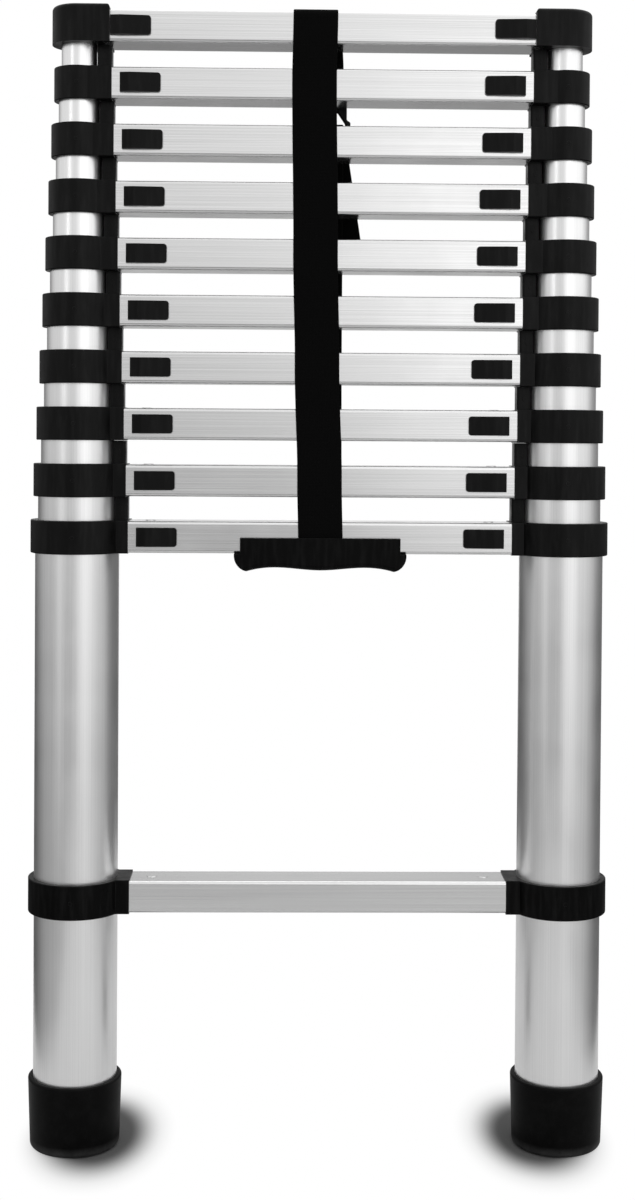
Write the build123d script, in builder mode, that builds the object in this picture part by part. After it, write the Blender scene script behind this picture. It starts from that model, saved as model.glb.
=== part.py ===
from build123d import *
import os

# A telescopic ladder, collapsed and strapped shut. Sizes are in millimetres. X runs along the rungs,
# -Y is the front and Z is up. The floor is Z = 0, and the origin is midway between the two stiles.

# Whole ladder
RUNG_COUNT = 11  # counted from the floor, the first two are fixed to the base
OPEN_PITCH = 300.0  # rung to rung when drawn out, and between the two fixed rungs
CLOSED_PITCH = 47.0  # rung to rung when collapsed
FIRST_RUNG_Z = 212.0  # floor to the middle of rung 1
STILE_SPACING = 407.0  # axis to axis of the two stiles

# Telescoping tubes
BASE_TUBE_OD = 70.0
TUBE_OD_STEP = 4.5  # each section is thinner than the one below it by this
TUBE_WALL = 1.3
TUBE_OVERLAP = 85.0  # length that stays in the tube below when drawn out

# Clearances
RUNNING_GAP = 0.3  # radial, between pieces that slide
SEAT_GAP = 0.05  # radial, between pieces that are fixed together
REST_GAP = 0.2  # between a spacer post and the collar above it when collapsed
PLUG_GAP = 0.2  # between a plug and the inside of its rung

# Hollow rungs
RUNG_DEPTH = 37.0
RUNG_HEIGHT = 26.4
RUNG_WALL = 1.6
RUNG_EDGE = 2.5

# Collars, with a neck to the rung and a spacer post on top
COLLAR_HEIGHT = 27.6
COLLAR_WALL = 3.9
COLLAR_LIP = 4.0  # closes the space above the tube end
COLLAR_EDGE = 0.8
NECK_DEPTH = 38.0
NECK_LENGTH = 5.0  # from the collar of rung 2 to the rung end
NECK_STEP = 0.35  # the neck gains this on each rung above
POST_WIDTH = 12.0
POST_DEPTH = 17.0
POST_INSET = 1.0  # from the rung end
POST_EDGE = 2.0

# Brackets of rung 1
BRACKET_HEIGHT = 28.4
BRACKET_WALL = 4.8
BRACKET_NECK = 6.5
BRACKET_PLUG = 40.0

# End caps over the top rung
CAP_WALL = 7.75
CAP_SHOULDER = 5.75  # from the tube to the rung end
CAP_RISE = 17.5  # above the middle of the top rung
CAP_EDGE = 3.5
CAP_COVER = 6.5  # length of rung that the cap hides

# Guide bushes on the lower ends of the moving tubes
BUSH_HEIGHT = 24.0
BUSH_FLOOR = 3.0
BUSH_LEDGE = 1.0  # reaches this far past the tube wall

# Latches: a thumb slide outside, a pin and a spring inside
TAB_LENGTH = 33.6
TAB_HEIGHT = 15.8
TAB_INSET = 6.9  # from the rung end
TAB_HEEL = 3.0  # thickness at the outer end
TAB_PEAK = 4.2  # thickness at the thumb ridge
TAB_TOE = 2.0  # thickness at the inner end
TAB_RIDGE = 8.0  # from the outer end to the ridge
TAB_CORNER = 2.5
STEM_LENGTH = 12.0
STEM_HEIGHT = 7.0
STEM_INSET = 12.0  # from the rung end
STEM_EDGE = 1.0
LATCH_TRAVEL = 12.0
PIN_RADIUS = 5.0
PIN_CHAMFER = 1.0
PIN_REACH = 30.0  # from the rung end to the inner end of the pin
NOTCH_Y = 3.0  # the stem sits on a flat this far from the pin's axis
SPRING_RADIUS = 4.8
SPRING_BORE = 3.6
SPRING_LENGTH = 14.0
SPRING_ROOM = 1.0
PLUG_END_WALL = 3.0

# Rivets through the top of each rung end
RIVET_INSET = 17.5  # from the rung end
RIVET_RADIUS = 2.4
RIVET_LENGTH = 6.5
RIVET_HEAD_RADIUS = 4.2
RIVET_HEAD_HEIGHT = 0.5

# Rubber feet
FOOT_WALL = 4.1
FOOT_TAPER = 1.8  # the sole is smaller in radius by this
FOOT_HEIGHT = 58.5
FOOT_FLOOR = 8.0
FOOT_EDGE = 4.0
FOOT_RIM = 1.6
TREAD_RADII = (14.0, 22.0, 29.0)
TREAD_WIDTH = 2.0
TREAD_DEPTH = 1.5

# Strap and its ring
STRAP_WIDTH = 37.0
STRAP_THICKNESS = 1.8
STRAP_X = -0.3
STRAP_GAP = 0.5  # in front of and behind the rungs, and round the ring
STRAP_SEAT = 0.1  # over the top rung
STRAP_BEND = 3.5
STRAP_END = 9.0  # below the middle of rung 2
RING_WIDTH = 49.2  # over the shoulders at its lower bar
RING_NECK = 43.0  # above the shoulders
RING_SIDE = 4.6  # thickness of the sides below the shoulders
RING_BAR = 5.0  # height of the upper and lower bars
RING_SHOULDER = 7.5  # from the middle of the lower bar to the shoulders
RING_SLOPE = 1.0  # half the rise of a shoulder
RING_HEIGHT = 17.1  # between the middles of the two bars
RING_ROOM = 27.0  # width of the opening under the upper bar
RING_DEPTH = 5.2
RING_DROP = 30.5  # from the middle of the last rung but one to the lower bar
RING_CORNER = 1.8
RING_EDGE = 1.4
LOOP_WIDTH = 24.0  # the strap is gathered to this where it goes round the ring
LOOP_RISE = 12.0  # from the loop's lowest point to the gathered part of the strap
LOOP_SEAM = 14.0  # sewn overlap above that
TAIL_LEAN = 16.5  # sideways lean of the loose end over its length

# Carry handle
PLATE_WIDTH = 133.0
PLATE_WALL = 2.6
GRIP_WIDTH = 143.0
GRIP_DROP = 14.6  # below the rung
GRIP_LOBE_X = 61.0
GRIP_GROOVE_X = 38.5
GRIP_GROOVE = 3.3  # depth of the finger grooves
GRIP_MIDDLE = 1.0  # the middle of the grip is higher than its lobes by this
GRIP_EDGE = 4.0

TOP = RUNG_COUNT
AXIS_X = -STILE_SPACING / 2
TRAVEL = OPEN_PITCH - CLOSED_PITCH
TUBE_LENGTH = OPEN_PITCH + TUBE_OVERLAP
RUNG_FRONT = RUNG_DEPTH / 2
PLUG_DEPTH = RUNG_DEPTH - 2 * RUNG_WALL - 2 * PLUG_GAP
PLUG_HEIGHT = RUNG_HEIGHT - 2 * RUNG_WALL - 2 * PLUG_GAP
PLUG_EDGE = 1.2
BORE_END = PIN_REACH + SPRING_LENGTH + LATCH_TRAVEL + SPRING_ROOM
PLUG_LENGTH = BORE_END + PLUG_END_WALL
PIN_HOLE = PIN_RADIUS + RUNNING_GAP
POST_HEIGHT = CLOSED_PITCH - COLLAR_HEIGHT - REST_GAP
SLOT_LENGTH = STEM_LENGTH + LATCH_TRAVEL + 1.0
SLOT_HEIGHT = STEM_HEIGHT + 2 * RUNNING_GAP
SLOT_MIDDLE = STEM_INSET + (STEM_LENGTH + LATCH_TRAVEL) / 2
STRAP_Y = RUNG_FRONT + STRAP_GAP + STRAP_THICKNESS / 2
RING_Y = STRAP_Y + STRAP_GAP + (STRAP_THICKNESS + RING_DEPTH) / 2
TAIL_Y = 2 * RING_Y - STRAP_Y
RING_BEND = 0.98 * (RING_Y - STRAP_Y)  # leaves a short flat between the two bends of a fold
UPWARD = (Align.CENTER, Align.CENTER, Align.MIN)


def rung_z(k):
    """Height of the middle of rung k."""
    if k == 1:
        return FIRST_RUNG_Z
    return FIRST_RUNG_Z + OPEN_PITCH + (k - 2) * CLOSED_PITCH


def tube_radius(k):
    """Outer radius of the tubes that carry rung k. The base tubes carry rungs 1 and 2."""
    return (BASE_TUBE_OD - max(k - 2, 0) * TUBE_OD_STEP) / 2


def tube_top(k):
    return rung_z(k) + COLLAR_HEIGHT / 2 - COLLAR_LIP


def tube_bottom(k):
    return FOOT_FLOOR if k == 2 else tube_top(k) - TUBE_LENGTH


def rung_end(k):
    """X of the left end of rung k."""
    if k == 1:
        return AXIS_X + tube_radius(k) + BRACKET_WALL + BRACKET_NECK
    if k == TOP:
        return AXIS_X + tube_radius(k) + CAP_SHOULDER
    return AXIS_X + tube_radius(k) + COLLAR_WALL + NECK_LENGTH + (k - 2) * NECK_STEP


def make_tubes(k):
    """The pair of tubes that carry rung k, with the holes that the lock pins pass."""
    radius, bottom = tube_radius(k), tube_bottom(k)
    holes = []
    if k < TOP:
        holes.append(rung_z(k))
    if k > 2:
        holes.append(rung_z(k - 1) - TRAVEL)
    with BuildPart() as tubes:
        with BuildSketch(Plane.XY.offset(bottom)):
            with Locations((AXIS_X, 0)):
                Circle(radius)
                Circle(radius - TUBE_WALL, mode=Mode.SUBTRACT)
        extrude(amount=tube_top(k) - bottom)
        with BuildSketch(Plane.YZ.offset(AXIS_X)):
            with Locations([(0, height) for height in holes]):
                Circle(PIN_HOLE)
        extrude(amount=radius + 1, mode=Mode.SUBTRACT)
        mirror(about=Plane.YZ)
    return tubes.part


def make_bushes(k):
    """The pair of guide bushes round the lower ends of the tubes of rung k."""
    radius, bottom = tube_radius(k), tube_bottom(k)
    outer = tube_radius(k - 1) - TUBE_WALL - RUNNING_GAP
    with BuildPart() as bushes:
        with BuildSketch(Plane.XY.offset(bottom - BUSH_FLOOR)):
            with Locations((AXIS_X, 0)):
                Circle(outer)
                Circle(radius - TUBE_WALL - BUSH_LEDGE, mode=Mode.SUBTRACT)
        extrude(amount=BUSH_FLOOR + BUSH_HEIGHT)
        with BuildSketch(Plane.XY.offset(bottom)):
            with Locations((AXIS_X, 0)):
                Circle(radius + SEAT_GAP)
        extrude(amount=BUSH_HEIGHT, mode=Mode.SUBTRACT)
        mirror(about=Plane.YZ)
    return bushes.part


def make_rung(k):
    """Rung k, a hollow section with rivet holes and, from rung 2 up, a slot for each thumb slide."""
    end, z = rung_end(k), rung_z(k)
    rivet_x, slot_x = end + RIVET_INSET, end + SLOT_MIDDLE
    with BuildPart() as rung:
        with BuildSketch(Plane.YZ.offset(end)):
            with Locations((0, z)):
                RectangleRounded(RUNG_DEPTH, RUNG_HEIGHT, RUNG_EDGE)
                RectangleRounded(
                    RUNG_DEPTH - 2 * RUNG_WALL,
                    RUNG_HEIGHT - 2 * RUNG_WALL,
                    RUNG_EDGE - RUNG_WALL,
                    mode=Mode.SUBTRACT,
                )
        extrude(amount=-2 * end)
        with BuildSketch(Plane.XY.offset(z)):
            with Locations((rivet_x, 0), (-rivet_x, 0)):
                Circle(RIVET_RADIUS + SEAT_GAP)
        extrude(amount=RUNG_HEIGHT, mode=Mode.SUBTRACT)
        if k > 1:
            with BuildSketch(Plane.XZ):
                with Locations((slot_x, z), (-slot_x, z)):
                    RectangleRounded(SLOT_LENGTH, SLOT_HEIGHT, STEM_EDGE)
            extrude(amount=RUNG_DEPTH, mode=Mode.SUBTRACT)
    return rung.part


def make_rivets(k):
    """The two rivets of rung k."""
    top = rung_z(k) + RUNG_HEIGHT / 2
    x = rung_end(k) + RIVET_INSET
    with BuildPart() as rivets:
        with BuildSketch(Plane.XY.offset(top)):
            with Locations((x, 0)):
                Circle(RIVET_HEAD_RADIUS)
        extrude(amount=RIVET_HEAD_HEIGHT)
        fillet(rivets.edges().sort_by(Axis.Z)[-1], RIVET_HEAD_HEIGHT * 0.8)
        with BuildSketch(Plane.XY.offset(top)):
            with Locations((x, 0)):
                Circle(RIVET_RADIUS)
        extrude(amount=-RIVET_LENGTH)
        mirror(about=Plane.YZ)
    return rivets.part


def cut_rivet_hole(k):
    """Opens the plug of rung k for its rivet."""
    with Locations((rung_end(k) + RIVET_INSET, 0, rung_z(k) + RUNG_HEIGHT / 2 - RIVET_LENGTH)):
        Cylinder(RIVET_RADIUS + SEAT_GAP, RUNG_HEIGHT, align=UPWARD, mode=Mode.SUBTRACT)


def cut_latch_room(k):
    """Opens the neck and plug of rung k for the pin, its spring and the stem of the thumb slide."""
    end, z = rung_end(k), rung_z(k)
    with Locations(Location((AXIS_X, 0, z), (0, 90, 0))):
        Cylinder(PIN_HOLE, end + BORE_END - AXIS_X, align=UPWARD, mode=Mode.SUBTRACT)
    with Locations((end + SLOT_MIDDLE, 0, z)):
        Box(
            SLOT_LENGTH,
            RUNG_DEPTH,
            SLOT_HEIGHT,
            align=(Align.CENTER, Align.MAX, Align.CENTER),
            mode=Mode.SUBTRACT,
        )


def make_brackets():
    """The pair of brackets that hold rung 1 on the base tubes."""
    radius, end, z = tube_radius(1), rung_end(1), rung_z(1)
    bottom = z - BRACKET_HEIGHT / 2
    with BuildPart() as brackets:
        with BuildSketch(Plane.XY.offset(bottom)):
            with Locations((AXIS_X, 0)):
                Circle(radius + BRACKET_WALL)
                Rectangle(end - AXIS_X, NECK_DEPTH, align=(Align.MIN, Align.CENTER))
        extrude(amount=BRACKET_HEIGHT)
        rims = brackets.edges().group_by(Axis.Z)[0] + brackets.edges().group_by(Axis.Z)[-1]
        fillet(rims.filter_by(Axis.Y, reverse=True), COLLAR_EDGE)
        with BuildSketch(Plane.YZ.offset(end)):
            with Locations((0, z)):
                RectangleRounded(PLUG_DEPTH, PLUG_HEIGHT, PLUG_EDGE)
        extrude(amount=BRACKET_PLUG)
        with Locations((AXIS_X, 0, bottom)):
            Cylinder(radius + SEAT_GAP, BRACKET_HEIGHT, align=UPWARD, mode=Mode.SUBTRACT)
        cut_rivet_hole(1)
        mirror(about=Plane.YZ)
    return brackets.part


def make_collars(k):
    """The pair of collars on the tubes of rung k, each with its neck, plug and spacer post."""
    radius, end, z = tube_radius(k), rung_end(k), rung_z(k)
    bottom, top = z - COLLAR_HEIGHT / 2, z + COLLAR_HEIGHT / 2
    outer = max(radius + COLLAR_WALL, NECK_DEPTH / 2)  # never narrower than its neck
    with BuildPart() as collars:
        with BuildSketch(Plane.XY.offset(bottom)):
            with Locations((AXIS_X, 0)):
                Circle(outer)
                Rectangle(end - AXIS_X, NECK_DEPTH, align=(Align.MIN, Align.CENTER))
        extrude(amount=COLLAR_HEIGHT)
        rims = collars.edges().group_by(Axis.Z)[0] + collars.edges().group_by(Axis.Z)[-1]
        fillet(rims.filter_by(Axis.Y, reverse=True), COLLAR_EDGE)
        with BuildSketch(Plane.YZ.offset(end)):
            with Locations((0, z)):
                RectangleRounded(PLUG_DEPTH, PLUG_HEIGHT, PLUG_EDGE)
        extrude(amount=PLUG_LENGTH)
        with BuildSketch(Plane.XY.offset(top)):
            with Locations((end - POST_INSET - POST_WIDTH / 2, 0)):
                RectangleRounded(POST_WIDTH, POST_DEPTH, POST_EDGE)
        extrude(amount=POST_HEIGHT)
        with Locations((AXIS_X, 0, bottom)):
            Cylinder(
                radius + SEAT_GAP, COLLAR_HEIGHT - COLLAR_LIP, align=UPWARD, mode=Mode.SUBTRACT
            )
            Cylinder(
                tube_radius(k + 1) + RUNNING_GAP, CLOSED_PITCH, align=UPWARD, mode=Mode.SUBTRACT
            )
        cut_latch_room(k)
        cut_rivet_hole(k)
        mirror(about=Plane.YZ)
    return collars.part


def make_end_caps():
    """The pair of caps over the ends of the top rung and its tubes."""
    radius, end, z = tube_radius(TOP), rung_end(TOP), rung_z(TOP)
    bottom, outer = z - COLLAR_HEIGHT / 2, tube_radius(TOP) + CAP_WALL
    with BuildPart() as caps:
        with BuildSketch(Plane.XY.offset(bottom)):
            with Locations((AXIS_X, 0)):
                Circle(outer)
                Rectangle(
                    end + CAP_COVER - AXIS_X, 2 * outer, align=(Align.MIN, Align.CENTER)
                )
        extrude(amount=CAP_RISE + COLLAR_HEIGHT / 2)
        fillet(caps.faces().sort_by(Axis.Z)[-1].edges(), CAP_EDGE)
        with Locations((end, 0, bottom)):
            Box(
                CAP_COVER + 1,
                RUNG_DEPTH + 2 * PLUG_GAP,
                (COLLAR_HEIGHT + RUNG_HEIGHT) / 2 + PLUG_GAP,
                align=(Align.MIN, Align.CENTER, Align.MIN),
                mode=Mode.SUBTRACT,
            )
        with BuildSketch(Plane.YZ.offset(end)):
            with Locations((0, z)):
                RectangleRounded(PLUG_DEPTH, PLUG_HEIGHT, PLUG_EDGE)
        extrude(amount=PLUG_LENGTH)
        with Locations((AXIS_X, 0, bottom)):
            Cylinder(
                radius + SEAT_GAP, COLLAR_HEIGHT - COLLAR_LIP, align=UPWARD, mode=Mode.SUBTRACT
            )
        cut_latch_room(TOP)
        cut_rivet_hole(TOP)
        mirror(about=Plane.YZ)
    return caps.part


def make_latch(k):
    """The left latch of rung k: the thumb slide, its lock pin and the spring behind the pin."""
    end, z = rung_end(k), rung_z(k)
    tip = AXIS_X + tube_radius(min(k + 1, TOP)) + RUNNING_GAP
    back = -RUNG_FRONT - RUNNING_GAP
    outer, inner = end + TAB_INSET, end + TAB_INSET + TAB_LENGTH
    stem_x = end + STEM_INSET + STEM_LENGTH / 2
    with BuildPart() as slide:
        with BuildSketch(Plane.XY.offset(z - TAB_HEIGHT / 2)):
            with BuildLine():
                Polyline(
                    (outer, back),
                    (outer, back - TAB_HEEL),
                    (outer + TAB_RIDGE, back - TAB_PEAK),
                    (inner, back - TAB_TOE),
                    (inner, back),
                    close=True,
                )
            make_face()
        extrude(amount=TAB_HEIGHT)
        fillet(slide.edges().filter_by(Axis.Y).group_by(Axis.X)[-1], TAB_CORNER)
        with BuildSketch(Plane.XZ.offset(NOTCH_Y)):
            with Locations((stem_x, z)):
                RectangleRounded(STEM_LENGTH, STEM_HEIGHT, STEM_EDGE)
        extrude(amount=-back - NOTCH_Y)
    with BuildPart() as pin:
        with BuildSketch(Plane.YZ.offset(tip)):
            with Locations((0, z)):
                Circle(PIN_RADIUS)
        extrude(amount=end + PIN_REACH - tip)
        chamfer(pin.edges().filter_by(GeomType.CIRCLE).sort_by(Axis.X)[0], PIN_CHAMFER)
        with BuildSketch(Plane.XZ.offset(NOTCH_Y)):
            with Locations((stem_x, z)):
                Rectangle(STEM_LENGTH, 2 * PIN_RADIUS)
        extrude(amount=PIN_RADIUS, mode=Mode.SUBTRACT)
    with BuildPart() as spring:
        with BuildSketch(Plane.YZ.offset(end + PIN_REACH)):
            with Locations((0, z)):
                Circle(SPRING_RADIUS)
                Circle(SPRING_BORE, mode=Mode.SUBTRACT)
        extrude(amount=SPRING_LENGTH)
    return [slide.part, pin.part, spring.part]


def make_foot():
    """The left foot, a rubber cup with a grooved sole."""
    rim, bore = tube_radius(1) + FOOT_WALL, tube_radius(1) + SEAT_GAP
    with BuildPart() as foot:
        with BuildSketch(Plane.XZ) as section:
            with BuildLine():
                Polyline(
                    (AXIS_X, 0),
                    (AXIS_X + rim - FOOT_TAPER, 0),
                    (AXIS_X + rim, FOOT_HEIGHT),
                    (AXIS_X + bore, FOOT_HEIGHT),
                    (AXIS_X + bore, FOOT_FLOOR),
                    (AXIS_X, FOOT_FLOOR),
                    close=True,
                )
            make_face()
            corners = section.vertices().sort_by(Axis.X)
            fillet(corners[-2], FOOT_EDGE)
            fillet(section.vertices().sort_by(Axis.X)[-1], FOOT_RIM)
        revolve(axis=Axis((AXIS_X, 0, 0), (0, 0, 1)))
        with BuildSketch(Plane.XY):
            with Locations((AXIS_X, 0)):
                for radius in TREAD_RADII:
                    Circle(radius + TREAD_WIDTH / 2)
                    Circle(radius - TREAD_WIDTH / 2, mode=Mode.SUBTRACT)
        extrude(amount=TREAD_DEPTH, mode=Mode.SUBTRACT)
    return foot.part


def ring_bar_z():
    """Height of the lower bar of the strap ring."""
    return rung_z(TOP - 1) - RING_DROP


def make_strap():
    """The strap: up the front of the rungs, over the top one and down behind to a loop round the ring."""
    low = rung_z(2) - STRAP_END
    top = rung_z(TOP) + RUNG_HEIGHT / 2 + STRAP_SEAT + STRAP_THICKNESS / 2
    turn = ring_bar_z() + RING_HEIGHT - RING_BAR / 2 - STRAP_GAP - STRAP_THICKNESS / 2
    gather = turn + LOOP_RISE
    seam_y = STRAP_Y + STRAP_THICKNESS
    with BuildPart() as strap:
        with BuildSketch(Plane.YZ.offset(STRAP_X - STRAP_WIDTH / 2)):
            with BuildLine():
                FilletPolyline(
                    (-STRAP_Y, low),
                    (-STRAP_Y, top),
                    (STRAP_Y, top),
                    (STRAP_Y, gather),
                    radius=STRAP_BEND,
                )
            trace(line_width=STRAP_THICKNESS)
        extrude(amount=STRAP_WIDTH)
        with BuildSketch(Plane.YZ.offset(STRAP_X - LOOP_WIDTH / 2)):
            with BuildLine():
                FilletPolyline(
                    (STRAP_Y, gather),
                    (STRAP_Y, turn),
                    (TAIL_Y, turn),
                    (TAIL_Y, gather),
                    (seam_y, gather + LOOP_RISE),
                    (seam_y, gather + LOOP_RISE + LOOP_SEAM),
                    radius=RING_BEND,
                )
            trace(line_width=STRAP_THICKNESS)
        extrude(amount=LOOP_WIDTH)
    return strap.part


def make_strap_ring():
    """The ring that joins the two ends of the strap: two bars, and sides with a shoulder."""
    half, wide, neck = RING_BAR / 2, RING_WIDTH / 2, RING_NECK / 2
    outer_half = [
        (wide, -half),
        (wide, RING_SHOULDER - RING_SLOPE),
        (neck, RING_SHOULDER + RING_SLOPE),
        (neck, RING_HEIGHT + half),
    ]
    inner_half = [
        (wide - RING_SIDE, half),
        (wide - RING_SIDE, 2 * half),
        (RING_ROOM / 2, RING_HEIGHT - half),
    ]
    with BuildPart() as ring:
        with BuildSketch(Plane.XZ.offset(-RING_Y - RING_DEPTH / 2)) as outline:
            with Locations((STRAP_X, ring_bar_z())):
                for half_line, mode in ((outer_half, Mode.ADD), (inner_half, Mode.SUBTRACT)):
                    other_half = [(-x, z) for x, z in reversed(half_line)]
                    Polygon(*half_line, *other_half, align=None, mode=mode)
            fillet(outline.vertices(), RING_CORNER)
        extrude(amount=RING_DEPTH)
        rims = ring.edges().group_by(Axis.Y)[0] + ring.edges().group_by(Axis.Y)[-1]
        fillet(rims, RING_EDGE)
    return ring.part


def make_strap_tail():
    """The lower run of the strap behind the rungs, over the ring's bar and on as the loose end."""
    low, end = rung_z(2) - STRAP_END, rung_z(TOP - 4)
    turn = ring_bar_z() + (RING_BAR + STRAP_THICKNESS) / 2 + STRAP_GAP
    fall = ring_bar_z() - RING_BAR / 2
    left, right = STRAP_X - STRAP_WIDTH / 2, STRAP_X + STRAP_WIDTH / 2
    with BuildPart() as tail:
        with BuildSketch(Plane.YZ.offset(left)):
            with BuildLine():
                FilletPolyline(
                    (STRAP_Y, low),
                    (STRAP_Y, turn),
                    (TAIL_Y, turn),
                    (TAIL_Y, fall),
                    radius=RING_BEND,
                )
            trace(line_width=STRAP_THICKNESS)
        extrude(amount=STRAP_WIDTH)
        with BuildSketch(Plane.XZ.offset(-TAIL_Y - STRAP_THICKNESS / 2)):
            with BuildLine():
                Polyline(
                    (left, fall),
                    (right, fall),
                    (right + TAIL_LEAN, end),
                    (left + TAIL_LEAN, end),
                    close=True,
                )
            make_face()
        extrude(amount=STRAP_THICKNESS)
    return tail.part


def make_handle():
    """The carry handle: a saddle under rung 2 with a finger grip along its lower edge."""
    top, ledge = rung_z(2), rung_z(2) - RUNG_HEIGHT / 2
    low = ledge - GRIP_DROP
    plate, grip = PLATE_WIDTH / 2, GRIP_WIDTH / 2
    room = 2 * (RUNG_FRONT + 2 * STRAP_GAP + STRAP_THICKNESS)
    depth = room + 2 * PLATE_WALL
    round_x, round_z = GRIP_LOBE_X + 0.7 * (grip - GRIP_LOBE_X), ledge - 0.7 * GRIP_DROP
    with BuildPart() as handle:
        with BuildSketch(Plane.XZ.offset(depth / 2)):
            with BuildLine():
                Polyline(
                    (-grip, ledge),
                    (-plate, ledge),
                    (-plate, top),
                    (plate, top),
                    (plate, ledge),
                    (grip, ledge),
                )
                ThreePointArc((grip, ledge), (round_x, round_z), (GRIP_LOBE_X, low))
                Spline(
                    (GRIP_LOBE_X, low),
                    (GRIP_GROOVE_X, low + GRIP_GROOVE),
                    (0, low + GRIP_MIDDLE),
                    (-GRIP_GROOVE_X, low + GRIP_GROOVE),
                    (-GRIP_LOBE_X, low),
                )
                ThreePointArc((-GRIP_LOBE_X, low), (-round_x, round_z), (-grip, ledge))
            make_face()
        extrude(amount=-depth)
        fillet(handle.edges().filter_by(GeomType.BSPLINE), GRIP_EDGE)
        with Locations((0, 0, ledge)):
            Box(2 * GRIP_WIDTH, room, RUNG_HEIGHT, align=UPWARD, mode=Mode.SUBTRACT)
    return handle.part


def write(name, *pieces):
    """Writes one named node. Separate pieces of a node stay separate solids."""
    shape = pieces[0] if len(pieces) == 1 else Compound(children=list(pieces))
    shape.label = name
    export_step(shape, f"parts/{name}.step")


os.makedirs("parts", exist_ok=True)

# Base
write("base_tubes", make_tubes(2))
write("lower_brackets", make_brackets())
write("carry_handle", make_handle())
left_foot = make_foot()
write("foot_left", left_foot)
write("foot_right", left_foot.mirror(Plane.YZ))

# Moving sections
for k in range(3, TOP + 1):
    write(f"tubes_{k}", make_tubes(k))

# Rungs, with their collars or caps
for k in range(1, TOP + 1):
    write(f"rung_{k}", make_rung(k), make_rivets(k))
write("collars_2", make_collars(2))
for k in range(3, TOP):
    write(f"collars_{k}", make_collars(k), make_bushes(k))
write("end_caps", make_end_caps(), make_bushes(TOP))

# Latches
for k in range(2, TOP + 1):
    latch = make_latch(k)
    write(f"latch_{k}_left", *latch)
    write(f"latch_{k}_right", *[piece.mirror(Plane.YZ) for piece in latch])

# Strap
write("strap", make_strap())
write("strap_ring", make_strap_ring())
write("strap_tail", make_strap_tail())
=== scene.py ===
import bmesh
import bpy
import math
from mathutils import Matrix, Vector


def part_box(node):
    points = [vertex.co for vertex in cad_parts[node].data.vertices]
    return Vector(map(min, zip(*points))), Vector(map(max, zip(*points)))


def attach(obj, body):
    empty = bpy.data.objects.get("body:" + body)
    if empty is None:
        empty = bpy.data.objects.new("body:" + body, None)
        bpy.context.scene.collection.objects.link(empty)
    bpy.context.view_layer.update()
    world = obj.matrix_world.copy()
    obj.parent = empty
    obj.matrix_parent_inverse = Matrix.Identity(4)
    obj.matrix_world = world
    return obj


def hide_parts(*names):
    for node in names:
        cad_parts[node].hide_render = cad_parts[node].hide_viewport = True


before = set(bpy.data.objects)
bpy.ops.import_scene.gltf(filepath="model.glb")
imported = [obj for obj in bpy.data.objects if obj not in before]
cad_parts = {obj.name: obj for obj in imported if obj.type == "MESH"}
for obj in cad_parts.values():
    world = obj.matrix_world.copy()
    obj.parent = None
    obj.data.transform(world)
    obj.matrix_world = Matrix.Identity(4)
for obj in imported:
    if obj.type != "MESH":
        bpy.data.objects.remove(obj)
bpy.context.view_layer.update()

# A collapsed telescopic ladder in a white studio. Sizes are in metres, X runs along the rungs,
# -Y is the front and Z is up.

MM = 0.001
RUNGS = range(1, 12)
LATCHED = range(2, 12)
COLLARED = range(2, 11)
SECTIONS = range(3, 12)  # the sliding sections, numbered like the rungs they carry
SIDES = ("left", "right")

# The photograph's view. Turn, dip and roll are in degrees.
IMAGE_HEIGHT = 1200
FOCAL_PIXELS = 1755.8
AXIS_ROW = 464.9  # the row that lies on the lens's axis
CAMERA_PLACE = (-0.03065, -1.4765, 0.5955)
CAMERA_TURN = -1.1
CAMERA_DIP = 0.89
CAMERA_ROLL = 0.38
SENSOR = 36.0  # height in millimetres

# Solid pieces
STILE_X = 203.5 * MM
COLLAR_WALL = 3.9 * MM
BRACKET_WALL = 4.8 * MM
RUNG_HALF = 13.2 * MM  # half of a rung's height
RING_BAR = 5.0 * MM
POST_SETBACK = 7.0 * MM  # from the rung's end to the middle of the post
POST_HALF_DEPTH = 8.5 * MM

# Marks that the mould left
MARK_HEIGHT = 0.3 * MM
MARK_ROUNDING = 0.7 * MARK_HEIGHT
MARK_SUNK = 1.0 * MM
MARK_SEGMENTS = 20
GATE_WIDTH = 3.4 * MM
PIN_WIDTH, PIN_HEIGHT = 3.0 * MM, 5.6 * MM
POST_MARK_RISE = 23.5 * MM  # halfway to the next rung

# Strap
STRAP_WIDTH = 37 * MM
STRAP_THICKNESS = 1.8 * MM
STRAP_STEP = 2.5 * MM  # between the rows of the mesh
STRAP_COLUMNS = 8
STRAP_GAP = 0.5 * MM  # to the ring
SELVEDGE = 0.45 * STRAP_THICKNESS
SELVEDGE_ANGLE = math.radians(60)
TOP_BEND = 3.5 * MM
# Sideways wander up the front, as pairs of the distance from the lower end and X
STRAP_WANDER = (
    (0 * MM, 0.2 * MM),
    (56 * MM, -0.9 * MM),
    (152 * MM, -3.6 * MM),
    (248 * MM, -5.5 * MM),
    (392 * MM, -7.2 * MM),
)
STRAP_TOP_X = -6.4 * MM
STRAP_BEHIND_X, STRAP_BEHIND_RISE = -0.4 * MM, 30 * MM  # above the loop
RIPPLE = 0.15 * MM
RIPPLE_SHORT, RIPPLE_LONG = 21 * MM, 55 * MM  # lengths of waves are those of one radian
RIPPLE_PHASE = 1.0
# The strap is gathered over the last part of its way to the ring.
GATHER_START, GATHER_END = 32 * MM, 12 * MM
LOOP_WIDTH = 24 * MM  # where it is gathered
LOOP_BACK = 39 * MM  # length that is turned back
LOOP_SEAM = 26 * MM  # from the end to the far side of the sewn box
PLEATS, PLEAT_DEPTH = 3, 0.8 * MM
STITCH_LENGTH = 2.6 * MM
STITCH_PITCH = 3.6 * MM
STITCH_RADIUS = 0.35 * MM
STITCH_INSET = 4.5 * MM  # from the edge of the webbing

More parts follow.
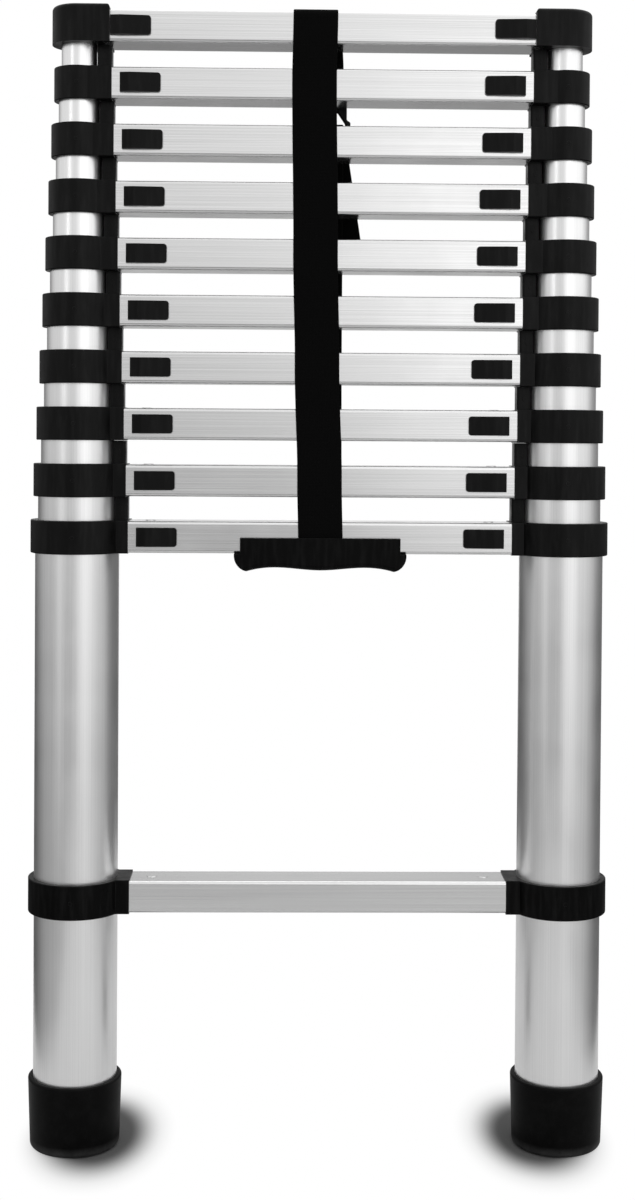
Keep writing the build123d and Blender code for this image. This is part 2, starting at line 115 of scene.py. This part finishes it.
# The strap's other run, with its loose end
TAIL_LEAN = math.radians(8.7)
TAIL_LENGTH = 106 * MM
TAIL_FOOT_X, TAIL_MIDDLE_X = 0.4 * MM, -0.4 * MM
TAIL_RIPPLE_LENGTH = 19 * MM
LOOSE_RIPPLE, LOOSE_RIPPLE_LENGTH = 0.6 * MM, 24 * MM
LEAN_LENGTH = 30 * MM  # on which the loose end comes to its lean

# Finishes: what their patterns measure
DIE_LINE, DIE_LINE_LENGTH = 0.6 * MM, 220 * MM  # wider apart than on real metal, so that they show
CLOUD = 40 * MM  # handling marks and unevenness of the anodising
CLOUD_ROUGHNESS = 0.06
FLOW_LINE, FLOW_LINE_LENGTH = 4 * MM, 30 * MM
NYLON_GRAIN, NYLON_SCUFF = 0.7 * MM, 15 * MM
WORN_EDGE = 0.7 * MM
RUBBER_GRAIN, RUBBER_SCUFF = 1.1 * MM, 12 * MM
# Heights between which the feet's painted reflection of the floor fades in, full at the bottom
FLOOR_REFLECTION_TOP, FLOOR_REFLECTION_FULL = 9 * MM, 1 * MM
YARN = 1.2 * MM
PLY = 0.5 * MM
WAVE_TURN = 20  # radians per unit in a wave texture of scale 1

# Studio: a white light tent with a few softboxes
FLOOR_WIDTH, FLOOR_LENGTH = 0.9, 2.0
# The floor's shading and its painted shadow fade out to plain white between these distances from a point
# beside each foot.
SHADOW_NEAR, SHADOW_FAR = 28 * MM, 70 * MM
SHADOW_INSET = 17 * MM  # of that point, towards the middle
SHADOW_SETBACK = 16 * MM  # of that point, towards the back
SHADOW_STRETCH = 0.55  # below 1, so that the shading reaches further to the front and back
# The tent's level is a product of shares. Each has an axis, a range of the direction's part along
# that axis, and the share at both ends of the range.
TENT_SHARES = (
    ((0.2, 1.0, -0.9), 0.8, -0.2, 0.25, 1.0),  # a low dim back, reaching further round on the right
    ((1.0, 0.0, 0.0), -0.12, 0.22, 0.83, 1.2),  # brighter on the right
    ((0.0, 0.0, 1.0), -0.1, 0.08, 0.38, 1.05),  # a dim foot
    ((0.0, 0.0, 1.0), 0.4, 0.8, 1.0, 1.15),  # a bright roof
)
# Shiny surfaces mirror the white backdrop straight behind, which fades out below.
BACKDROP_SHARES = (
    ((0.0, 1.0, 0.0), 0.94, 0.99, 0.0, 1.0),
    ((0.0, 0.0, 1.0), -0.35, 0.05, 0.0, 1.0),
)
AIM = Vector((0, 0, 0.55))
# Name, degrees to the right of the front, degrees up, distance, width, height, power in watts
SOFTBOXES = (
    ("softbox_right", 23.5, 2, 1.4, 0.96, 1.1, 1.0),
    ("softbox_left", -46, -2, 1.6, 0.45, 0.9, 0.35),
    ("strip_left", -45, 20, 3.0, 0.14, 1.6, 2.2),
    ("softbox_back", 180, 62, 2.3, 1.8, 0.9, 6.0),
)


def linear(code):
    """A colour written as sRGB hex, as linear RGBA."""
    values = [int(code[i : i + 2], 16) / 255 for i in (1, 3, 5)]
    return [v / 12.92 if v <= 0.04045 else ((v + 0.055) / 1.055) ** 2.4 for v in values] + [1.0]


def add(tree, kind, inputs=None, stops=(), **settings):
    """Adds a node, applies its settings, sets or links its inputs, and sets the stops of a ramp."""
    node = tree.nodes.new(kind)
    for name, value in settings.items():
        setattr(node, name, value)
    for key, value in (inputs or {}).items():
        if isinstance(value, bpy.types.NodeSocket):
            tree.links.new(value, node.inputs[key])
        else:
            node.inputs[key].default_value = value
    for i, (position, code) in enumerate(stops):
        node.color_ramp.elements[i].position = position
        node.color_ramp.elements[i].color = linear(code)
    return node


def new_material(name):
    """An empty material and its node tree."""
    material = bpy.data.materials.new(name)
    material.use_nodes = True
    material.node_tree.nodes.clear()
    return material, material.node_tree


def drawn_aluminium(name, along, dull, bright, roughness):
    """Drawn and satin anodised aluminium: a soft pale metal with fine lines along one axis."""
    material, tree = new_material(name)
    place = add(tree, "ShaderNodeTexCoord").outputs["Object"]
    scale = [1 / (DIE_LINE_LENGTH if axis == along else DIE_LINE) for axis in "XYZ"]
    stretched = add(tree, "ShaderNodeMapping", {"Vector": place, "Scale": scale})
    lines = add(
        tree, "ShaderNodeTexNoise", {"Vector": stretched.outputs[0], "Scale": 1.0, "Detail": 3.0}
    )
    cloud = add(tree, "ShaderNodeTexNoise", {"Vector": place, "Scale": 1 / CLOUD, "Detail": 4.0})
    tint = add(
        tree, "ShaderNodeValToRGB", {"Fac": lines.outputs["Fac"]}, stops=((0.3, dull), (0.7, bright))
    )
    rough = add(
        tree,
        "ShaderNodeMapRange",
        {
            "Value": cloud.outputs["Fac"],
            "From Min": 0.3,
            "From Max": 0.7,
            "To Min": roughness,
            "To Max": roughness + CLOUD_ROUGHNESS,
        },
    )
    bump = add(
        tree, "ShaderNodeBump", {"Height": lines.outputs["Fac"], "Strength": 0.06, "Distance": 0.05 * MM}
    )
    surface = add(
        tree,
        "ShaderNodeBsdfPrincipled",
        {
            "Base Color": tint.outputs["Color"],
            "Metallic": 1.0,
            "Roughness": rough.outputs["Result"],
            "Normal": bump.outputs["Normal"],
        },
    )
    add(tree, "ShaderNodeOutputMaterial", {"Surface": surface.outputs["BSDF"]})
    return material


def worn_edges(tree, radius):
    """1 along edges that are sharper than the radius, 0 on flat faces."""
    true = add(tree, "ShaderNodeNewGeometry")
    soft = add(tree, "ShaderNodeBevel", {"Radius": radius}, samples=4)
    same = add(
        tree,
        "ShaderNodeVectorMath",
        {0: true.outputs["Normal"], 1: soft.outputs["Normal"]},
        operation="DOT_PRODUCT",
    )
    edge = add(
        tree,
        "ShaderNodeMapRange",
        {"Value": same.outputs["Value"], "From Min": 0.99, "From Max": 0.8},
    )
    return edge.outputs["Result"]


def moulded_nylon(name, shine):
    """Glass filled nylon: near black, with flow lines that run up and down and edges rubbed paler."""
    material, tree = new_material(name)
    place = add(tree, "ShaderNodeTexCoord").outputs["Object"]
    upright = add(
        tree,
        "ShaderNodeMapping",
        {"Vector": place, "Scale": (1 / FLOW_LINE, 1 / FLOW_LINE, 1 / FLOW_LINE_LENGTH)},
    )
    flow = add(tree, "ShaderNodeTexNoise", {"Vector": upright.outputs[0], "Scale": 1.0, "Detail": 4.0})
    grit = add(tree, "ShaderNodeTexNoise", {"Vector": place, "Scale": 1 / NYLON_GRAIN, "Detail": 2.0})
    scuff = add(
        tree,
        "ShaderNodeTexNoise",
        {"Vector": place, "Scale": 1 / NYLON_SCUFF, "Detail": 6.0, "Roughness": 0.65},
    )
    tint = add(
        tree,
        "ShaderNodeValToRGB",
        {"Fac": flow.outputs["Fac"]},
        stops=((0.45, "#020202"), (0.85, "#141414")),
    )
    rubbed = add(
        tree,
        "ShaderNodeMix",
        {"Factor": worn_edges(tree, WORN_EDGE), "A": tint.outputs["Color"], "B": linear("#202020")},
        data_type="RGBA",
    )
    rough = add(
        tree,
        "ShaderNodeMapRange",
        {"Value": scuff.outputs["Fac"], "From Min": 0.35, "From Max": 0.7, "To Min": 0.3, "To Max": 0.45},
    )
    bump = add(
        tree, "ShaderNodeBump", {"Height": grit.outputs["Fac"], "Strength": 0.08, "Distance": 0.05 * MM}
    )
    surface = add(
        tree,
        "ShaderNodeBsdfPrincipled",
        {
            "Base Color": rubbed.outputs["Result"],
            "Roughness": rough.outputs["Result"],
            "Specular IOR Level": shine,
            "Normal": bump.outputs["Normal"],
        },
    )
    add(tree, "ShaderNodeOutputMaterial", {"Surface": surface.outputs["BSDF"]})
    return material


def moulded_rubber():
    """Vulcanised rubber: a dull deep black, with a painted reflection of the pale floor: an uneven paler
    rim where it meets the ground.
    """
    material, tree = new_material("vulcanised_rubber")
    place = add(tree, "ShaderNodeTexCoord").outputs["Object"]
    grit = add(tree, "ShaderNodeTexNoise", {"Vector": place, "Scale": 1 / RUBBER_GRAIN, "Detail": 2.0})
    scuff = add(
        tree,
        "ShaderNodeTexNoise",
        {"Vector": place, "Scale": 1 / RUBBER_SCUFF, "Detail": 6.0, "Roughness": 0.65},
    )
    tint = add(
        tree,
        "ShaderNodeValToRGB",
        {"Fac": scuff.outputs["Fac"]},
        stops=((0.45, "#040404"), (0.75, "#0c0c0c")),
    )
    # Painted reflection of the floor: paler in uneven patches towards the ground.
    height = add(tree, "ShaderNodeSeparateXYZ", {"Vector": place})
    low = add(
        tree,
        "ShaderNodeMapRange",
        {"Value": height.outputs["Z"], "From Min": FLOOR_REFLECTION_TOP, "From Max": FLOOR_REFLECTION_FULL},
    )
    floor_reflection = add(
        tree, "ShaderNodeMath", {0: low.outputs["Result"], 1: scuff.outputs["Fac"]}, operation="MULTIPLY"
    )
    reflected_tint = add(
        tree,
        "ShaderNodeMix",
        {"Factor": floor_reflection.outputs[0], "A": tint.outputs["Color"], "B": linear("#4a4a4a")},
        data_type="RGBA",
    )
    bump = add(
        tree, "ShaderNodeBump", {"Height": grit.outputs["Fac"], "Strength": 0.25, "Distance": 0.1 * MM}
    )
    surface = add(
        tree,
        "ShaderNodeBsdfPrincipled",
        {
            "Base Color": reflected_tint.outputs["Result"],
            "Roughness": 0.45,
            "Specular IOR Level": 0.06,
            "Normal": bump.outputs["Normal"],
        },
    )
    add(tree, "ShaderNodeOutputMaterial", {"Surface": surface.outputs["BSDF"]})
    return material


def woven_webbing():
    """Woven black polyester webbing: ribs along its length, crossed by picks, with a dull sheen."""
    material, tree = new_material("woven_polyester_webbing")
    # The cut's UV map is in metres.
    flat = add(tree, "ShaderNodeUVMap", uv_map="cut").outputs["UV"]
    ribs, picks = (
        add(
            tree,
            "ShaderNodeTexWave",
            {"Vector": flat, "Scale": 2 * math.pi / YARN / WAVE_TURN, "Distortion": 0.6, "Detail": 1.0},
            bands_direction=across,
        )
        for across in "XY"
    )
    over = add(tree, "ShaderNodeTexChecker", {"Vector": flat, "Scale": 1 / YARN})
    weave = add(
        tree,
        "ShaderNodeMix",
        {"Factor": over.outputs["Fac"], "A": ribs.outputs["Fac"], "B": picks.outputs["Fac"]},
        data_type="FLOAT",
    )
    tint = add(
        tree,
        "ShaderNodeValToRGB",
        {"Fac": weave.outputs["Result"]},
        stops=((0.0, "#020202"), (1.0, "#070707")),
    )
    bump = add(
        tree,
        "ShaderNodeBump",
        {"Height": weave.outputs["Result"], "Strength": 0.6, "Distance": 0.25 * MM},
    )
    surface = add(
        tree,
        "ShaderNodeBsdfPrincipled",
        {
            "Base Color": tint.outputs["Color"],
            "Roughness": 0.85,
            "Specular IOR Level": 0.06,
            "Sheen Weight": 0.01,
            "Sheen Roughness": 0.4,
            "Normal": bump.outputs["Normal"],
        },
    )
    add(tree, "ShaderNodeOutputMaterial", {"Surface": surface.outputs["BSDF"]})
    return material


def sewing_thread():
    """Bonded polyester thread: black, twisted, a little shinier than the webbing."""
    material, tree = new_material("bonded_polyester_thread")
    place = add(tree, "ShaderNodeTexCoord").outputs["Object"]
    ply = add(
        tree,
        "ShaderNodeTexWave",
        {"Vector": place, "Scale": 2 * math.pi / PLY / WAVE_TURN},
        bands_direction="DIAGONAL",
    )
    tint = add(
        tree,
        "ShaderNodeValToRGB",
        {"Fac": ply.outputs["Fac"]},
        stops=((0.0, "#101010"), (1.0, "#1d1d1d")),
    )
    surface = add(
        tree,
        "ShaderNodeBsdfPrincipled",
        {"Base Color": tint.outputs["Color"], "Roughness": 0.55, "Specular IOR Level": 0.25},
    )
    add(tree, "ShaderNodeOutputMaterial", {"Surface": surface.outputs["BSDF"]})
    return material


def studio_floor():
    """A pale painted floor. It keeps the shadows round the feet, deepened by a painted shadow close to
    them, and runs out into plain white.
    """
    material, tree = new_material("pale_painted_floor")
    place = add(tree, "ShaderNodeTexCoord").outputs["Object"]
    # Both feet are as far from the middle, so one distance serves for the two.
    moved = add(
        tree, "ShaderNodeVectorMath", {0: place, 1: (0.0, SHADOW_SETBACK, 0.0)}, operation="SUBTRACT"
    )
    folded = add(tree, "ShaderNodeVectorMath", {0: moved.outputs["Vector"]}, operation="ABSOLUTE")
    drawn = add(
        tree,
        "ShaderNodeVectorMath",
        {0: folded.outputs["Vector"], 1: (1.0, SHADOW_STRETCH, 1.0)},
        operation="MULTIPLY",
    )
    distance = add(
        tree,
        "ShaderNodeVectorMath",
        {0: drawn.outputs["Vector"], 1: (STILE_X - SHADOW_INSET, 0.0, 0.0)},
        operation="DISTANCE",
    )
    far = add(
        tree,
        "ShaderNodeMapRange",
        {"Value": distance.outputs["Value"], "From Min": SHADOW_NEAR, "From Max": SHADOW_FAR},
        interpolation_type="SMOOTHSTEP",
    )
    ray = add(tree, "ShaderNodeLightPath")
    seen = add(
        tree,
        "ShaderNodeMath",
        {0: ray.outputs["Is Camera Ray"], 1: ray.outputs["Is Transmission Ray"]},
        operation="ADD",
        use_clamp=True,
    )
    white = add(
        tree, "ShaderNodeMath", {0: far.outputs["Result"], 1: seen.outputs[0]}, operation="MULTIPLY"
    )
    # Painted shadow: the floor's paint is darker close to the feet, deepening the real shadows there.
    painted_shadow_coat = add(
        tree,
        "ShaderNodeValToRGB",
        {"Fac": far.outputs["Result"]},
        stops=((0.0, "#585858"), (0.7, "#c8c8c8")),
    )
    matt = add(tree, "ShaderNodeBsdfDiffuse", {"Color": painted_shadow_coat.outputs["Color"]})
    plain = add(tree, "ShaderNodeEmission", {"Strength": 1.0})
    surface = add(
        tree, "ShaderNodeMixShader", {0: white.outputs[0], 1: matt.outputs[0], 2: plain.outputs[0]}
    )
    add(tree, "ShaderNodeOutputMaterial", {"Surface": surface.outputs[0]})
    return material


def make_camera():
    """The photograph's view."""
    data = bpy.data.cameras.new("camera")
    data.sensor_fit = "VERTICAL"
    data.sensor_height = SENSOR
    data.lens = FOCAL_PIXELS / IMAGE_HEIGHT * SENSOR
    data.shift_y = (AXIS_ROW - IMAGE_HEIGHT / 2) / IMAGE_HEIGHT
    camera = bpy.data.objects.new("camera", data)
    bpy.context.scene.collection.objects.link(camera)
    turn = Matrix.Rotation(math.radians(CAMERA_TURN), 4, "Z")
    dip = Matrix.Rotation(math.radians(90 - CAMERA_DIP), 4, "X")
    roll = Matrix.Rotation(math.radians(CAMERA_ROLL), 4, "Z")
    camera.matrix_world = Matrix.Translation(CAMERA_PLACE) @ turn @ dip @ roll
    bpy.context.scene.camera = camera


def make_lights():
    """The softboxes. They aren't seen by the camera."""
    for name, right, up, distance, width, height, power in SOFTBOXES:
        data = bpy.data.lights.new(name, "AREA")
        data.shape = "RECTANGLE"
        data.size, data.size_y = width, height
        data.energy = power
        lamp = bpy.data.objects.new(name, data)
        bpy.context.scene.collection.objects.link(lamp)
        right, up = math.radians(right), math.radians(up)
        way = Vector((math.sin(right) * math.cos(up), -math.cos(right) * math.cos(up), math.sin(up)))
        lamp.location = AIM + distance * way
        lamp.visible_camera = False
        lamp.rotation_euler = way.to_track_quat("Z", "Y").to_euler()


def share_out(tree, level, way, shares):
    """Multiplies a level by the shares that a direction has in it."""
    for axis, start, end, low, high in shares:
        part = add(tree, "ShaderNodeVectorMath", {0: way, 1: axis}, operation="DOT_PRODUCT")
        share = add(
            tree,
            "ShaderNodeMapRange",
            {
                "Value": part.outputs["Value"],
                "From Min": start,
                "From Max": end,
                "To Min": low,
                "To Max": high,
            },
            interpolation_type="SMOOTHSTEP",
        )
        product = add(tree, "ShaderNodeMath", {0: level, 1: share.outputs["Result"]}, operation="MULTIPLY")
        level = product.outputs[0]
    return level


def make_world():
    """The light tent: bright in front and above, dimmer behind, and plain white to the camera."""
    world = bpy.data.worlds.new("studio")
    bpy.context.scene.world = world
    world.use_nodes = True
    tree = world.node_tree
    tree.nodes.clear()
    way = add(tree, "ShaderNodeTexCoord").outputs["Generated"]
    ray = add(tree, "ShaderNodeLightPath")
    level = share_out(tree, 1.0, way, TENT_SHARES)
    mirrored = share_out(tree, ray.outputs["Is Glossy Ray"], way, BACKDROP_SHARES)
    seen = add(
        tree,
        "ShaderNodeMath",
        {0: ray.outputs["Is Camera Ray"], 1: ray.outputs["Is Transmission Ray"]},
        operation="ADD",
    )
    white = add(
        tree, "ShaderNodeMath", {0: seen.outputs[0], 1: mirrored}, operation="ADD", use_clamp=True
    )
    shown = add(
        tree, "ShaderNodeMix", {"Factor": white.outputs[0], "A": level, "B": 1.0}, data_type="FLOAT"
    )
    tent = add(
        tree,
        "ShaderNodeBackground",
        {"Color": (1.0, 1.0, 1.0, 1.0), "Strength": shown.outputs["Result"]},
    )
    add(tree, "ShaderNodeOutputWorld", {"Surface": tent.outputs[0]})


def make_floor():
    """The studio's floor, which isn't part of the ladder."""
    shape = bmesh.new()
    bmesh.ops.create_grid(shape, x_segments=1, y_segments=1, size=0.5)
    bmesh.ops.scale(shape, verts=shape.verts, vec=(FLOOR_WIDTH, FLOOR_LENGTH, 1))
    floor = finish_piece("studio_floor", shape, studio_floor())


def finish_piece(name, shape, material, smooth=False):
    """Turns a bmesh into an object of the scene, with its place in its mesh."""
    mesh = bpy.data.meshes.new(name)
    shape.to_mesh(mesh)
    shape.free()
    mesh.materials.append(material)
    for face in mesh.polygons:
        face.use_smooth = smooth
    piece = bpy.data.objects.new(name, mesh)
    bpy.context.scene.collection.objects.link(piece)
    return piece


def paint(names, material):
    """Gives CAD nodes their finish."""
    for name in names:
        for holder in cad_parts[name].material_slots:
            holder.material = material


def finish_nodes(tube, rung, nylon, dull_nylon, rubber):
    """Finishes the solid pieces."""
    paint(["base_tubes"] + [f"tubes_{k}" for k in SECTIONS], tube)
    paint([f"rung_{k}" for k in RUNGS], rung)
    paint(["end_caps", "strap_ring"], nylon)
    paint(["lower_brackets", "carry_handle"], dull_nylon)
    paint([f"collars_{k}" for k in COLLARED], nylon)
    paint([f"latch_{k}_{side}" for k in LATCHED for side in SIDES], nylon)
    paint([f"foot_{side}" for side in SIDES], rubber)


class Route:
    """A line in the YZ plane made of legs. A leg is its length and the angle it turns through."""

    def __init__(self, y, z, heading, legs):
        self.start, self.heading, self.legs = Vector((y, z)), heading, legs
        self.length = sum(length for length, turn in legs)

    def at(self, s):
        """The point at distance s and the direction of travel there. Turns are to the right."""
        point, heading = self.start.copy(), self.heading
        for length, turn in self.legs:
            part = min(s, length)
            angle = turn * part / length
            if turn == 0:
                point += part * Vector((math.cos(heading), math.sin(heading)))
            else:
                radius = length / turn
                centre = point + radius * Vector((math.sin(heading), -math.cos(heading)))
                point = centre - radius * Vector((math.sin(heading - angle), -math.cos(heading - angle)))
            heading -= angle
            s -= part
            if s <= 0:
                break
        return point, heading


def blend_between(pairs, x):
    """A smooth curve through pairs of place and value."""
    if x <= pairs[0][0]:
        return pairs[0][1]
    for (x0, v0), (x1, v1) in zip(pairs, pairs[1:]):
        if x <= x1:
            t = (x - x0) / (x1 - x0)
            return v0 + (v1 - v0) * t * t * (3 - 2 * t)
    return pairs[-1][1]


def cut_and_bend(name, route, place, material):
    """A strap cut flat and laid along its route. place(u, s) gives the point for a place on the cut."""
    rows = max(2, round(route.length / STRAP_STEP))
    shape = bmesh.new()
    bmesh.ops.create_grid(shape, x_segments=STRAP_COLUMNS, y_segments=rows, size=0.5)
    cut = shape.loops.layers.uv.new("cut")
    flat = {v: (v.co.x * STRAP_WIDTH, (v.co.y + 0.5) * route.length) for v in shape.verts}
    for face in shape.faces:
        for loop in face.loops:
            loop[cut].uv = flat[loop.vert]
    for v, (u, s) in flat.items():
        v.co = place(u, s)
    strap = finish_piece(name, shape, material, smooth=True)
    wall = strap.modifiers.new("thickness", "SOLIDIFY")
    wall.thickness = STRAP_THICKNESS
    wall.offset = 0
    edge = strap.modifiers.new("selvedge", "BEVEL")
    edge.width = SELVEDGE
    edge.segments = 2
    edge.limit_method = "ANGLE"
    edge.angle_limit = SELVEDGE_ANGLE
    return strap


def make_strap(webbing, thread):
    """The strap: up the front, over the top rung, and down behind to a sewn loop round the ring."""
    low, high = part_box("strap")
    ring_low, ring_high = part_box("strap_ring")
    half = STRAP_THICKNESS / 2
    front, crest = low.y + half, high.z - half
    back, outside = -front, high.y - half
    quarter = math.pi / 2
    corner = TOP_BEND * quarter
    fold = (outside - back) / 2
    loop_z = ring_high.z - RING_BAR - STRAP_GAP - half + fold
    up = crest - TOP_BEND - low.z
    across = back - front - 2 * TOP_BEND
    down = crest - TOP_BEND - loop_z
    lean = math.atan2(outside - back - STRAP_THICKNESS, LOOP_BACK)
    legs = [
        (up, 0),
        (corner, quarter),
        (across, 0),
        (corner, quarter),
        (down, 0),
        (fold * math.pi, -math.pi),
        (LOOP_BACK, -lean),
    ]
    route = Route(front, low.z, quarter, legs)
    loop_at = up + 2 * corner + across + down
    middle = (ring_low.x + ring_high.x) / 2
    behind = (
        (up, STRAP_TOP_X),
        (loop_at - STRAP_BEHIND_RISE, STRAP_BEHIND_X),
        (loop_at, middle),
    )
    wander = STRAP_WANDER + behind
    squeeze = ((loop_at - GATHER_START, 1.0), (loop_at - GATHER_END, LOOP_WIDTH / STRAP_WIDTH))

    def place(u, s):
        point, heading = route.at(s)
        narrow = blend_between(squeeze, s)
        ripple = RIPPLE * math.sin(s / RIPPLE_SHORT) * math.sin(s / RIPPLE_LONG + RIPPLE_PHASE)
        pleat = PLEAT_DEPTH * (1 - narrow) * (1 + math.cos(2 * math.pi * u * PLEATS / STRAP_WIDTH))
        out = ripple + pleat
        y = point.x - math.sin(heading) * out
        z = point.y + math.cos(heading) * out
        return (blend_between(wander, s) + u * narrow, y, z)

    strap = cut_and_bend("strap_webbing", route, place, webbing)
    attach(strap, "section_11")
    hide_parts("strap")
    make_stitches(place, route.length, thread)


def make_stitches(place, end, thread):
    """A sewn box that holds the strap's turned-back end. place is the strap's, and end its length."""
    reach = STRAP_WIDTH / 2 - STITCH_INSET
    corners = [(side * reach, end - STITCH_INSET) for side in (-1, 1)]
    corners += [(side * reach, end - LOOP_SEAM) for side in (1, -1)]
    shape = bmesh.new()
    for start, stop in zip(corners, corners[1:] + corners[:1]):
        line = Vector(place(*stop)) - Vector(place(*start))
        count = round(line.length / STITCH_PITCH)
        for i in range(count):
            u, s = Vector(start).lerp(Vector(stop), (i + 0.5) / count)
            spot = Vector(place(u, s))
            across = Vector(place(u + STITCH_RADIUS, s)) - spot
            outward = (Vector(place(u, s + STITCH_RADIUS)) - spot).cross(across).normalized()
            side = outward.cross(line).normalized()
            turn = Matrix((side.cross(outward), side, outward)).transposed().to_4x4()
            centre = Matrix.Translation(spot + outward * STRAP_THICKNESS / 2)
            size = Matrix.Diagonal((STITCH_LENGTH / 2, STITCH_RADIUS, STITCH_RADIUS, 1))
            bmesh.ops.create_icosphere(shape, subdivisions=2, radius=1, matrix=centre @ turn @ size)
    bmesh.ops.recalc_face_normals(shape, faces=shape.faces)
    stitches = finish_piece("strap_stitches", shape, thread, smooth=True)
    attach(stitches, "section_11")


def make_tail(webbing):
    """The strap's other run: up behind the rungs, over the ring's bar and down as the loose end."""
    low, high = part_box("strap_tail")
    ring_low, ring_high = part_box("strap_ring")
    half = STRAP_THICKNESS / 2
    back, outside = low.y + half, high.y - half
    fold = (outside - back) / 2
    up = high.z - half - fold - low.z
    legs = [(up, 0), (fold * math.pi, math.pi), (TAIL_LENGTH, 0)]
    route = Route(back, low.z, math.pi / 2, legs)
    middle = (ring_low.x + ring_high.x) / 2
    wander = ((0.0, TAIL_FOOT_X), (up / 2, TAIL_MIDDLE_X), (up, middle))
    bar = up + fold * math.pi / 2

    def place(u, s):
        point, heading = route.at(s)
        fallen = max(0.0, s - bar)
        if s < up:
            ripple = RIPPLE * math.sin(s / TAIL_RIPPLE_LENGTH)
        else:
            ripple = LOOSE_RIPPLE * math.sin(fallen / LOOSE_RIPPLE_LENGTH)
        x = blend_between(wander, s) + u + math.tan(TAIL_LEAN) * fallen
        y = point.x - math.sin(heading) * ripple
        z = point.y + u * math.sin(TAIL_LEAN) * min(1.0, fallen / LEAN_LENGTH)
        return (x, y, z)

    tail = cut_and_bend("strap_loose_end", route, place, webbing)
    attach(tail, "section_11")
    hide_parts("strap_tail")


def press_mark(shape, x, y, z, width, height):
    """An oval pad with a rounded rim on a face that looks to the front. Its back is sunk in the face."""
    spot = Matrix.Translation((x, y + MARK_SUNK, z)) @ Matrix.Rotation(math.pi / 2, 4, "X")
    made = bmesh.ops.create_circle(
        shape,
        cap_ends=True,
        segments=MARK_SEGMENTS,
        radius=0.5,
        matrix=spot @ Matrix.Diagonal((width, height, 1, 1)),
    )
    face = made["verts"][0].link_faces[0]
    raised = bmesh.ops.extrude_face_region(shape, geom=[face])["geom"]
    top = [part for part in raised if isinstance(part, bmesh.types.BMFace)]
    bmesh.ops.translate(shape, verts=top[0].verts, vec=(0, -MARK_SUNK - MARK_HEIGHT, 0))
    bmesh.ops.bevel(
        shape,
        geom=top[0].edges,
        offset=MARK_ROUNDING,
        offset_type="OFFSET",
        affect="EDGES",
        segments=2,
        profile=0.5,
        material=-1,
    )


def make_press_marks(nylon, dull_nylon):
    """The small marks that the mould left: one on each bracket, collar and post above a collar."""
    for k in RUNGS[:-1]:
        rung_low, rung_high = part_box(f"rung_{k}")
        middle = rung_low.z + RUNG_HALF
        radius = tube_radius(k) + (COLLAR_WALL if k in COLLARED else BRACKET_WALL)
        shape = bmesh.new()
        for side in (-1, 1):
            press_mark(shape, side * STILE_X, -radius, middle, GATE_WIDTH, GATE_WIDTH)
            if k in COLLARED:
                post = side * (rung_high.x + POST_SETBACK)
                press_mark(shape, post, -POST_HALF_DEPTH, middle + POST_MARK_RISE, PIN_WIDTH, PIN_HEIGHT)
        bmesh.ops.recalc_face_normals(shape, faces=shape.faces)
        mark = finish_piece(f"press_marks_{k}", shape, nylon if k in COLLARED else dull_nylon)
        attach(mark, f"section_{k}" if k in SECTIONS else "base")


def tube_radius(k):
    """Outer radius of the tubes that carry rung k, from their CAD box."""
    low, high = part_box(f"tubes_{k}" if k in SECTIONS else "base_tubes")
    return (high.y - low.y) / 2


make_camera()
make_world()
make_lights()
make_floor()
webbing = woven_webbing()
black_nylon = moulded_nylon("glass_filled_nylon", shine=0.13)
dull_nylon = moulded_nylon("dull_glass_filled_nylon", shine=0.07)
finish_nodes(
    drawn_aluminium("satin_anodised_aluminium_tube", "Z", "#e9e9e9", "#f3f3f3", roughness=0.28),
    drawn_aluminium("satin_anodised_aluminium_rung", "X", "#d4d4d4", "#e5e5e5", roughness=0.2),
    black_nylon,
    dull_nylon,
    moulded_rubber(),
)
make_strap(webbing, sewing_thread())
make_tail(webbing)
make_press_marks(black_nylon, dull_nylon)

bpy.context.scene.view_settings.view_transform = "Standard"
